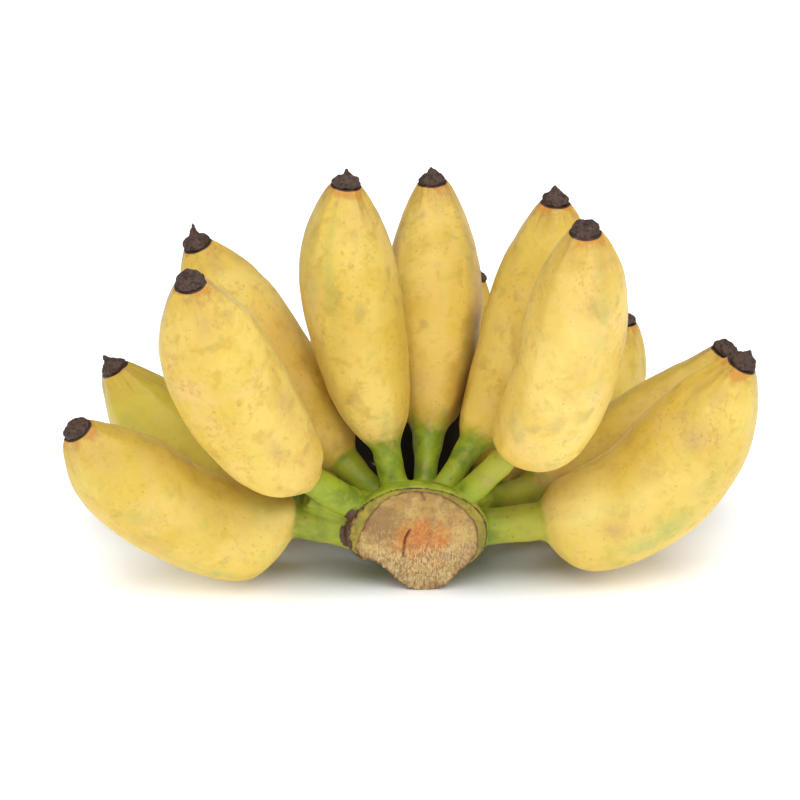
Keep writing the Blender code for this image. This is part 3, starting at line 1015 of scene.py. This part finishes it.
def make_peel_group(looks):
    """Colour of the ripe skin."""
    nodes, _, made = group("ripe_colour", {}, "NodeSocketColor")
    mottle = nodes.mottle
    nodes.base = nodes.mix(mottle(24.0, 0.36, 0.66, 4.0), looks.yellow, looks.pale_yellow)
    # Clouds of single shades, the last two being pressed skin and its darker grain
    for shade, share, *cloud in (
            (looks.ochre, 0.55, 44.0, 0.50, 0.70, 4.0), (looks.lemon, 0.45, 19.0, 0.52, 0.70, 3.0),
            (looks.peach, 0.60, 64.0, 0.54, 0.70, 5.0), (looks.peach, 0.42, 31.0, 0.53, 0.60, 5.0),
            (looks.ochre, 0.30, 37.0, 0.56, 0.64, 5.0), (looks.dull, 0.58, 88.0, 0.57, 0.74, 5.0),
            (looks.ochre, 0.58, 175.0, 0.52, 0.70, 5.0)):
        nodes.over(shade, mottle(*cloud), share)
    # The fine tan net
    nodes.over(looks.tan, mottle(400.0, 0.52, 0.68, 4.0), mottle(55.0, 0.44, 0.64), 0.50)
    nodes.feed(made, nodes.base)


def make_stalk_group(looks):
    """Green of the stalks, and the way it gives way to the ripe skin."""
    nodes, given, made = group("stalk_colour", {"Ripe Color": None, "Ripe": 0.0, "Pale": 0.0},
                               "NodeSocketColor")
    mottle, span = nodes.mottle, nodes.span
    nodes.base = nodes.mix(mottle(95.0, 0.36, 0.68, 4.0), looks.stalk, looks.dark_stalk)
    nodes.over(looks.pale_stalk, mottle(150.0, 0.54, 0.72, 3.0), 0.5)
    nodes.over(looks.pale_stalk, given["Pale"], mottle(40.0, 0.20, 0.60, 3.0))
    ripe = span(nodes.stirred(given["Ripe"], 0.56, -0.28, 110.0, 0.25, 0.75, 4.0), 0.18, 0.92)
    nodes.over(given["Ripe Color"], ripe)
    # Brown speckles where green meets yellow, then flecks and tan clouds on the green
    nodes.over(looks.dull, span(ripe, 0.0, 0.35), span(ripe, 1.0, 0.6),
               mottle(260.0, 0.48, 0.66, 4.0), 0.5)
    nodes.over(looks.fleck, nodes.flecks(380.0, 0.32, 0.36), span(ripe, 0.8, 0.1),
               mottle(60.0, 0.35, 0.6), 0.65)
    nodes.over(looks.tan, mottle(210.0, 0.54, 0.70, 5.0), span(ripe, 0.6, 0.1),
               mottle(45.0, 0.40, 0.62), 0.60)
    nodes.feed(made, nodes.base)


def greened(nodes):
    """Lets the ripe colour so far give way to the green of the stalk."""
    nodes.base = nodes.use("stalk_colour", {
        "Ripe Color": nodes.base, "Ripe": nodes.read("ripe"), "Pale": nodes.read("pale")})


def paint_pocket_shade(nodes, looks):
    """Painted shade in the dark pocket behind the stalks, brown round its edge."""
    pocket_shade_mask = nodes.read("pocket_shade_mask")
    nodes.over(looks.brown, nodes.span(pocket_shade_mask, 0.02, 0.45), 0.8)
    uneven_edge = nodes.stirred(pocket_shade_mask, 0.5, -0.25, 110.0, 0.35, 0.65, 5.0)
    nodes.over(looks.painted_pocket_shade, nodes.span(uneven_edge, 0.28, 0.55))


def finish_skin(nodes, shader, looks):
    """Gloss, fine grain and softness that both skins share."""
    rough = nodes.reckon("MULTIPLY_ADD", nodes.mottle(30.0, 0.35, 0.7), 0.12,
                         looks.roughness - 0.06)
    rough = nodes.reckon("MULTIPLY_ADD", nodes.read("pocket_shade_mask"), 0.5, rough)
    height = nodes.reckon("MULTIPLY_ADD", nodes.noise(150.0, 3.0), 2.2, nodes.noise(650.0, 3.0))
    nodes.finish(shader, rough, height, 0.28, 0.0003)
    shader.inputs["Subsurface Weight"].default_value = 0.06
    shader.inputs["Subsurface Radius"].default_value = (1.0, 0.55, 0.2)
    shader.inputs["Subsurface Scale"].default_value = 0.003
    shader.inputs["IOR"].default_value = 1.42


def make_skin(looks):
    nodes, shader = new_material("banana_peel")
    read, mottle, span = nodes.read, nodes.mottle, nodes.span
    straight = read("straight", "Vector")
    nodes.base = nodes.use("ripe_colour", {})
    # Each finger's own green, and its dark, partly riper skin and partly painted shade
    nodes.over(looks.lemon_green, read("green_shade"))
    nodes.over(looks.ochre, read("dark_shade"))
    # Golden brown painted shade where two fingers come close, and brown where they touch
    close = read("close")
    near = nodes.stirred(close, 0.5, -0.25, 70.0, 0.25, 0.75, 4.0)
    nodes.over(looks.golden_shade, span(near, 0.15, 0.95), 0.68)
    nodes.over(looks.brown, nodes.reckon("POWER", close, 7.0), mottle(90.0, 0.25, 0.60, 4.0), 0.60)
    # The smears, the fair ones being partly paler skin and partly painted light, and a little
    # green along the ridges
    nodes.over(looks.pale_and_lit, read("pale_and_lit"), mottle(50.0, 0.15, 0.60, 4.0), 0.8)
    nodes.over(looks.worn, read("worn"), mottle(110.0, 0.22, 0.62, 5.0))
    patch = nodes.times(read("green"), mottle(90.0, 0.25, 0.62, 4.0))
    faint = nodes.times(nodes.reckon("POWER", read("ridge"), 3.0), mottle(30.0, 0.50, 0.70), 0.24)
    nodes.over(looks.unripe, nodes.reckon("MAXIMUM", patch, faint))
    greened(nodes)
    # Tan, then orange under the dried end, and the thin black line at its foot
    tip = read("tip")
    near = nodes.stirred(tip, 0.34, -0.14, 110.0, 0.3, 0.7, 5.0)
    nodes.over(looks.ochre, span(near, 0.75, 0.15), 0.50)
    nodes.over(looks.tan, span(near, 0.40, 0.12), mottle(240.0, 0.42, 0.62, 4.0), 0.60)
    nodes.over(looks.brown, nodes.streaks(straight, 420.0, 0.16, 0.54, 0.68),
               span(near, 0.80, 0.15), mottle(90.0, 0.35, 0.65, 4.0), 0.42)
    nodes.over(looks.rust, span(near, 0.16, 0.03), 0.85)
    nodes.over(looks.dried_edge, span(tip, 0.038, 0.020))
    # Flecks and thin scratches
    nodes.over(looks.brown, nodes.flecks(620.0, 0.34, 0.36), mottle(60.0, 0.42, 0.62, 4.0), 0.50)
    nodes.over(looks.dull, nodes.flecks(240.0, 0.10, 0.22), mottle(33.0, 0.46, 0.62), 0.40)
    nodes.over(looks.tan, nodes.streaks(straight, 330.0, 0.12, 0.60, 0.72),
               mottle(40.0, 0.50, 0.66, 2.0), 0.35)
    paint_pocket_shade(nodes, looks)
    finish_skin(nodes, shader, looks)


def make_green(looks, cut):
    nodes, shader = new_material("crown_and_stalk_skin")
    read, mottle, span = nodes.read, nodes.mottle, nodes.span
    nodes.base = nodes.use("ripe_colour", {})
    greened(nodes)
    # Painted shade in the creases between the stalks
    nodes.over(looks.creased, read("crease"), mottle(170.0, 0.30, 0.62, 5.0), 0.75)
    # Browned skin low down at the front, and the dark torn edge of the cut
    browned = nodes.stirred(read("low"), 0.5, -0.3, 120.0, 0.3, 0.7, 4.0)
    bark = nodes.mix(mottle(230.0, 0.35, 0.65, 4.0), looks.tan, cut.gap)
    nodes.over(bark, span(browned, 0.25, 0.85))
    lip = nodes.stirred(read("lip"), 0.36, -0.18, 260.0, 0.3, 0.7, 4.0)
    dark = nodes.mix(nodes.times(mottle(420.0, 0.35, 0.65, 4.0), 0.3), cut.rim, cut.gap)
    nodes.over(dark, span(lip, 0.45, 0.8))
    paint_pocket_shade(nodes, looks)
    finish_skin(nodes, shader, looks)


def make_flesh(looks):
    nodes, shader = new_material("crown_flesh", "face")
    read, mottle, span = nodes.read, nodes.mottle, nodes.span
    into, fibres, rays = read("into_flesh"), read("fibres"), read("rays")
    parts = nodes.put("ShaderNodeSeparateXYZ", {0: nodes.where})
    sideways, height = parts.outputs[0], parts.outputs[2]

    def around(x, z, wide, tall):
        """1 at a place of the face, falling to 0 at its uneven edge."""
        dx = nodes.times(nodes.reckon("ADD", sideways, -x * MM), 1 / (wide * MM))
        dz = nodes.times(nodes.reckon("ADD", height, -z * MM), 1 / (tall * MM))
        away = nodes.reckon("SQRT", nodes.reckon("ADD", nodes.times(dx, dx), nodes.times(dz, dz)))
        return span(nodes.stirred(away, 0.8, -0.4, 150.0, 0.2, 0.8, 5.0), 1.05, 0.30)

    # Broad parts: cream at the right, mauve at the upper left, orange in the middle
    nodes.base = nodes.mix(mottle(100.0, 0.36, 0.66, 5.0), looks.flesh, looks.cream)
    nodes.over(looks.cream, around(16, 24, 12, 13), 0.8)
    nodes.over(looks.mauve, around(-13, 30, 12, 11), 0.85)
    nodes.over(looks.cream, around(-18, 20, 6, 3.5), 0.7)
    middle = around(3.5, 23, 18, 13)
    nodes.over(looks.orange, middle, 0.92)
    nodes.over(looks.red, around(5, 25, 13, 10), span(rays, 0.42, 0.66), 0.55)
    nodes.over(looks.cream, span(rays, 0.50, 0.30), around(3, 23, 19, 15), 0.30)
    nodes.over(looks.mauve, mottle(170.0, 0.47, 0.66, 5.0), 0.62)
    nodes.over(looks.gap, mottle(330.0, 0.52, 0.66, 5.0), 0.45)
    # Torn fibres low down, the ends of the finest ones, and pits between them
    low = nodes.stirred(span(height, 0.028, 0.008), 0.5, -0.25, 130.0, 0.3, 0.7, 4.0)
    low = span(low, 0.05, 0.75)
    nodes.over(looks.fibre, low, span(fibres, 0.42, 0.64), 0.60)
    nodes.over(looks.gap, span(fibres, 0.46, 0.24), low, 0.50)
    nodes.over(looks.fibre, nodes.streaks(nodes.where, 1250.0, 0.45, 0.50, 0.66),
               span(height, 0.040, 0.016), nodes.reckon("MULTIPLY_ADD", middle, -0.65, 1.0), 0.60)
    nodes.over(looks.gap, nodes.streaks(nodes.where, 900.0, 0.60, 0.54, 0.68), 0.50)
    # Stains at the edge of the flesh, the line round it, the rind and the bark
    nodes.over(looks.gap, span(into, 6.0, 0.0), mottle(190.0, 0.42, 0.62, 5.0), 0.70)
    edge = nodes.stirred(nodes.reckon("ABSOLUTE", into), 0.8, -0.3, 300.0, 0.3, 0.7, 4.0)
    nodes.over(looks.browned, span(edge, 0.85, 0.1), 0.85)
    rind = nodes.mix(mottle(120.0, 0.35, 0.65, 4.0), looks.band, looks.band_green)
    rind = nodes.mix(nodes.times(mottle(280.0, 0.50, 0.68, 5.0), 0.65), rind, looks.browned)
    nodes.over(rind, span(into, 0.0, -0.35))
    bark = nodes.mix(mottle(380.0, 0.36, 0.62, 4.0), looks.rim, looks.gap)
    torn = nodes.stirred(read("skin_width"), 1.2, -0.6, 260.0, 0.3, 0.7, 4.0)
    nodes.over(bark, span(torn, 0.35, -0.1))
    nodes.over(looks.rim, read("crack"), mottle(420.0, 0.22, 0.50, 3.0), 0.80)
    nodes.over(bark, span(read("front"), 0.6, 0.2))
    nodes.finish(shader, 0.72, nodes.noise(1100.0, 4.0), 0.6, 0.0004)


def make_dried(looks):
    nodes, shader = new_material("dried_flower_end")
    nodes.base = nodes.mix(nodes.mottle(330.0, 0.35, 0.65, 4.0), looks.dried, looks.dried_grey)
    nodes.over(looks.dried_dark, nodes.mottle(640.0, 0.48, 0.66, 4.0), 0.8)
    nodes.finish(shader, 0.8, nodes.noise(1500.0, 4.0), 0.7, 0.0006)


# Settings, operators and panel

def shade(name, description, default):
    return FloatVectorProperty(name=name, description=description, default=default,
                               subtype="COLOR", size=3, min=0.0, max=1.0)


class SkinSettings(bpy.types.PropertyGroup):
    ridge: FloatProperty(name="Ridge", description="Height of the soft ridges along a fruit",
                         default=0.0006, unit="LENGTH", precision=5)
    roughness: FloatProperty(name="Roughness", description="Roughness of the ripe skin",
                             default=0.48, min=0.0, max=1.0, subtype="FACTOR")
    yellow: shade("Yellow", "Main colour of the ripe skin", (0.74, 0.50, 0.075))
    pale_yellow: shade("Pale yellow", "Lighter parts of the skin", (0.82, 0.62, 0.15))
    lemon: shade("Lemon", "Fresher parts of the skin", (0.70, 0.54, 0.055))
    lemon_green: shade("Lemon green", "Skin of a finger that ripens last", (0.57, 0.49, 0.045))
    # Paler skin, and painted light on places that lie in shade
    pale_and_lit: shade("Fair", "Palest skin", (0.90, 0.72, 0.24))
    peach: shade("Peach", "Pale blotches of the skin", (0.80, 0.54, 0.185))
    ochre: shade("Ochre", "Riper parts of the skin", (0.60, 0.37, 0.045))
    # Painted shade where two fingers come close
    golden_shade: shade("Golden brown", "Where two fingers meet", (0.42, 0.225, 0.018))
    dull: shade("Dull", "Where the skin was pressed", (0.40, 0.32, 0.10))
    worn: shade("Worn", "Larger tan patches", (0.52, 0.34, 0.11))
    tan: shade("Tan", "Fine net of the skin", (0.44, 0.26, 0.08))
    # Brown is also painted shade where fingers touch and round the dark pocket
    brown: shade("Brown", "Streaks near the dried ends", (0.24, 0.12, 0.03))
    unripe: shade("Unripe", "Where the skin is still green", (0.34, 0.41, 0.11))
    stalk: shade("Stalk", "Green of the stalks and the crown", (0.30, 0.37, 0.018))
    dark_stalk: shade("Dark stalk", "Darker green of the stalks", (0.145, 0.21, 0.010))
    pale_stalk: shade("Pale stalk", "Yellower green of some stalks", (0.43, 0.40, 0.040))
    rust: shade("Rust", "Skin next to the dried end", (0.58, 0.25, 0.035))
    dried_edge: shade("Dried edge", "Line where the dried end starts", (0.04, 0.018, 0.01))
    fleck: shade("Fleck", "Small flecks", (0.17, 0.09, 0.03))
    # Painted shade in the creases between the stalks
    creased: shade("Creased", "Creases between the stalks", (0.065, 0.055, 0.010))
    # Painted shade in the dark pocket behind the stalks
    painted_pocket_shade: shade("Pocket shade", "Dark pocket behind the stalks", (0.012, 0.008, 0.004))


class CutSettings(bpy.types.PropertyGroup):
    flesh: shade("Flesh", "Main colour of the cut flesh", (0.41, 0.25, 0.062))
    cream: shade("Cream", "Pale parts of the flesh", (0.53, 0.37, 0.115))
    mauve: shade("Mauve", "Dull part of the flesh", (0.27, 0.145, 0.048))
    orange: shade("Orange", "Middle of the flesh", (0.57, 0.19, 0.022))
    red: shade("Red", "Veins in the middle of the flesh", (0.48, 0.13, 0.04))
    fibre: shade("Fibre", "Ends of the fibres", (0.68, 0.53, 0.29))
    gap: shade("Gap", "Between the fibres", (0.26, 0.13, 0.045))
    browned: shade("Browned", "Line between flesh and band", (0.16, 0.075, 0.03))
    band: shade("Band", "Band under the skin", (0.36, 0.285, 0.024))
    band_green: shade("Green band", "Greener part of the band", (0.21, 0.18, 0.018))
    rim: shade("Rim", "Dried rim of the cut", (0.050, 0.024, 0.012))


class DriedSettings(bpy.types.PropertyGroup):
    dried: shade("Dried", "Main colour of the dried ends", (0.060, 0.030, 0.020))
    dried_grey: shade("Dried grey", "Dusty parts of the dried ends", (0.105, 0.062, 0.045))
    dried_dark: shade("Dried dark", "Cracks of the dried ends", (0.012, 0.006, 0.005))


class StageSettings(bpy.types.PropertyGroup):
    floor: shade("Floor", "Colour of the floor", (0.92, 0.94, 0.98))
    sky: FloatProperty(name="Sky", description="Strength of the even light", default=0.215, min=0.0)
    key: FloatProperty(name="Key", description="Power of the large light above the hand, in watts",
                       default=19.5, min=0.0)
    front: FloatProperty(name="Front", description="Power of the light behind the camera, in watts",
                         default=9.3, min=0.0)
    sides: FloatProperty(name="Sides", description="Power of the lights on either side, in watts",
                         default=3.3, min=0.0)
    glow: FloatProperty(name="Glow", description="How far the floor away from the hand is lit up",
                        default=0.60, min=0.0)
    floor_size: FloatProperty(name="Floor size", description="Length of a side of the floor",
                              default=12.0, unit="LENGTH")


class HAND_OT_materials(bpy.types.Operator):
    """Makes the materials that the pieces share"""
    bl_idname = "hand.materials"
    bl_label = "Materials"

    def execute(self, context):
        scene = context.scene
        make_mottle_group()
        make_fleck_group()
        make_streak_group()
        make_peel_group(scene.hand_skin)
        make_stalk_group(scene.hand_skin)
        make_skin(scene.hand_skin)
        make_green(scene.hand_skin, scene.hand_cut)
        make_flesh(scene.hand_cut)
        make_dried(scene.hand_dried)
        return {"FINISHED"}


class HAND_OT_fingers(bpy.types.Operator):
    """Builds the skins of the thirteen fruits"""
    bl_idname = "hand.fingers"
    bl_label = "Fingers"

    def execute(self, context):
        for number in FRUITS:
            obj = build_finger(number, context.scene.hand_skin)
            finished(obj, bpy.data.materials["banana_peel"], f"fruit_{number:02d}")
        return {"FINISHED"}


class HAND_OT_dried_ends(bpy.types.Operator):
    """Builds the dried ends of the flowers"""
    bl_idname = "hand.dried_ends"
    bl_label = "Dried ends"

    def execute(self, context):
        for number in FRUITS:
            obj = build_dried_end(number)
            finished(obj, bpy.data.materials["dried_flower_end"], f"flower_end_{number:02d}")
        return {"FINISHED"}


class HAND_OT_crown(bpy.types.Operator):
    """Builds the green crown with its stalks"""
    bl_idname = "hand.crown"
    bl_label = "Crown"

    def execute(self, context):
        finished(build_crown(), bpy.data.materials["crown_and_stalk_skin"], "crown")
        return {"FINISHED"}


class HAND_OT_cut_face(bpy.types.Operator):
    """Builds the cut flesh of the crown with its rim"""
    bl_idname = "hand.cut_face"
    bl_label = "Cut face"

    def execute(self, context):
        finished(build_cut_face(), bpy.data.materials["crown_flesh"], "cut_face")
        return {"FINISHED"}


class HAND_OT_stage(bpy.types.Operator):
    """Sets up the floor, the lights and the camera"""
    bl_idname = "hand.stage"
    bl_label = "Stage"

    def execute(self, context):
        looks = context.scene.hand_stage
        start_clean()
        bpy.ops.mesh.primitive_plane_add(size=looks.floor_size, location=(0, 0, 0))
        floor = context.object
        floor.name = "floor"
        nodes, shader = new_material("pale_floor")
        shader.inputs["Base Color"].default_value = colour(looks.floor)
        shader.inputs["Roughness"].default_value = 0.9
        shader.inputs["Specular IOR Level"].default_value = 0.0
        # The floor is lit up towards its far parts, as in a light tent
        moved = nodes.put("ShaderNodeVectorMath", {0: nodes.where, 1: GLOW_MOVED},
                          operation="ADD").outputs[0]
        wide = nodes.put("ShaderNodeVectorMath", {0: moved, 1: GLOW_STRETCHED},
                         operation="MULTIPLY").outputs[0]
        away = nodes.put("ShaderNodeVectorMath", {0: wide}, operation="LENGTH").outputs["Value"]
        glow = nodes.mix(nodes.span(away, GLOW_FROM, GLOW_FULL), (0, 0, 0), (1, 1, 1))
        nodes.feed(shader.inputs["Emission Color"], glow)
        shader.inputs["Emission Strength"].default_value = looks.glow
        floor.data.materials.append(bpy.data.materials["pale_floor"])
        world = bpy.data.worlds.new("even_light")
        context.scene.world = world
        world.use_nodes = True
        sky = world.node_tree.nodes["Background"]
        sky.inputs["Color"].default_value = colour(SKY_TINT)
        sky.inputs["Strength"].default_value = looks.sky
        for name, place, size, power, tint in (
                ("key_light", (0.12, -0.40, 1.50), 1.6, looks.key, KEY_TINT),
                ("front_light", (0.2, -1.7, 0.8), 1.0, looks.front, WARM_TINT),
                ("left_light", (-1.4, -0.4, 0.6), 0.9, looks.sides, WARM_TINT),
                ("right_light", (1.4, -0.4, 0.6), 0.9, looks.sides, WARM_TINT)):
            bpy.ops.object.light_add(type="AREA", location=place)
            light = context.object
            light.name = name
            light.data.size = size
            light.data.energy = power
            light.data.color = tint
            aim = Vector(LIGHTS_TARGET) - Vector(place)
            light.rotation_euler = aim.to_track_quat("-Z", "Y").to_euler()
            if name == "front_light":
                # This one lights the hand and leaves the shadow under it
                spared = bpy.data.collections.new("floor_spared_by_" + name)
                spared.objects.link(floor)
                light.light_linking.receiver_collection = spared
                spared.collection_objects[0].light_linking.link_state = "EXCLUDE"
        raised = math.radians(CAMERA_RAISED)
        back = Vector((0, -math.cos(raised), math.sin(raised))) * CAMERA_AWAY
        bpy.ops.object.camera_add(location=placed(Vector(CAMERA_TARGET)) + back)
        camera = context.object
        camera.rotation_euler = (math.radians(90) - raised, 0, 0)
        camera.data.sensor_width = 36.0
        camera.data.lens = CAMERA_LENS
        camera.data.clip_start, camera.data.clip_end = 0.05, 50.0
        context.scene.camera = camera
        context.scene.view_settings.view_transform = "Standard"
        return {"FINISHED"}


class HAND_PT_panel(bpy.types.Panel):
    """Lists what builds the hand of bananas"""
    bl_idname = "HAND_PT_panel"
    bl_label = "Hand of Bananas"
    bl_space_type = "VIEW_3D"
    bl_region_type = "UI"
    bl_category = "Bananas"

    def draw(self, context):
        scene = context.scene
        for settings in (scene.hand_skin, scene.hand_cut, scene.hand_dried, scene.hand_stage):
            box = self.layout.box()
            for name in settings.bl_rna.properties.keys():
                if name not in ("rna_type", "name"):
                    box.prop(settings, name)
        for operator in OPERATORS:
            self.layout.operator(operator.bl_idname)


OPERATORS = (HAND_OT_materials, HAND_OT_fingers, HAND_OT_dried_ends, HAND_OT_crown,
             HAND_OT_cut_face, HAND_OT_stage)
SETTINGS = {"hand_skin": SkinSettings, "hand_cut": CutSettings, "hand_dried": DriedSettings,
            "hand_stage": StageSettings}


def register():
    for kind in (*SETTINGS.values(), *OPERATORS, HAND_PT_panel):
        bpy.utils.register_class(kind)
    for name, kind in SETTINGS.items():
        setattr(bpy.types.Scene, name, PointerProperty(type=kind))


def unregister():
    for name in SETTINGS:
        delattr(bpy.types.Scene, name)
    for kind in reversed((*SETTINGS.values(), *OPERATORS, HAND_PT_panel)):
        bpy.utils.unregister_class(kind)


def main():
    register()
    bpy.ops.hand.materials()
    bpy.ops.hand.fingers()
    bpy.ops.hand.dried_ends()
    bpy.ops.hand.crown()
    bpy.ops.hand.cut_face()
    bpy.ops.hand.stage()


if __name__ == "__main__":
    main()
